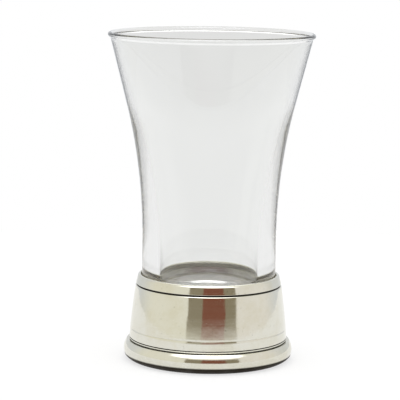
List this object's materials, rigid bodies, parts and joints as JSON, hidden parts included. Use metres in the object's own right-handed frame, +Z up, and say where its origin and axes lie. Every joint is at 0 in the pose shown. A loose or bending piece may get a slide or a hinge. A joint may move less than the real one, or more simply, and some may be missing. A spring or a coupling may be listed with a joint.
{
  "type": "shot glass",
  "caption": "Flared clear shot glass with a heavy foot, bedded in a turned pewter base with a rounded collar, a scribed skirt and a bead foot.",
  "frame": {"origin": "middle of the foot, on the plane that the shot glass stands on", "axes": "+Z up along the axis that every piece is turned round; +X and +Y are any two directions across it"},
  "size_m": [0.0502, 0.0502, 0.08],
  "materials": {
    "clear_glass": "clear soda glass, fire polished",
    "clear_bedding": "clear set cement",
    "bright_pewter": "bright turned pewter, lightly tarnished in its grooves",
    "dull_pewter": "turned pewter, left dull",
    "soft_solder": "bright soft solder"
  },
  "bodies": {
    "root": {"glass_tumbler": "clear_glass", "bedding_ring": "clear_bedding", "collar_ring": "bright_pewter", "base_skirt": "bright_pewter", "foot_ring": "bright_pewter", "seat_disc": "dull_pewter", "base_plate": "dull_pewter", "seat_solder": "soft_solder", "foot_solder": "soft_solder", "plate_solder": "soft_solder"}
  },
  "joints": []
}
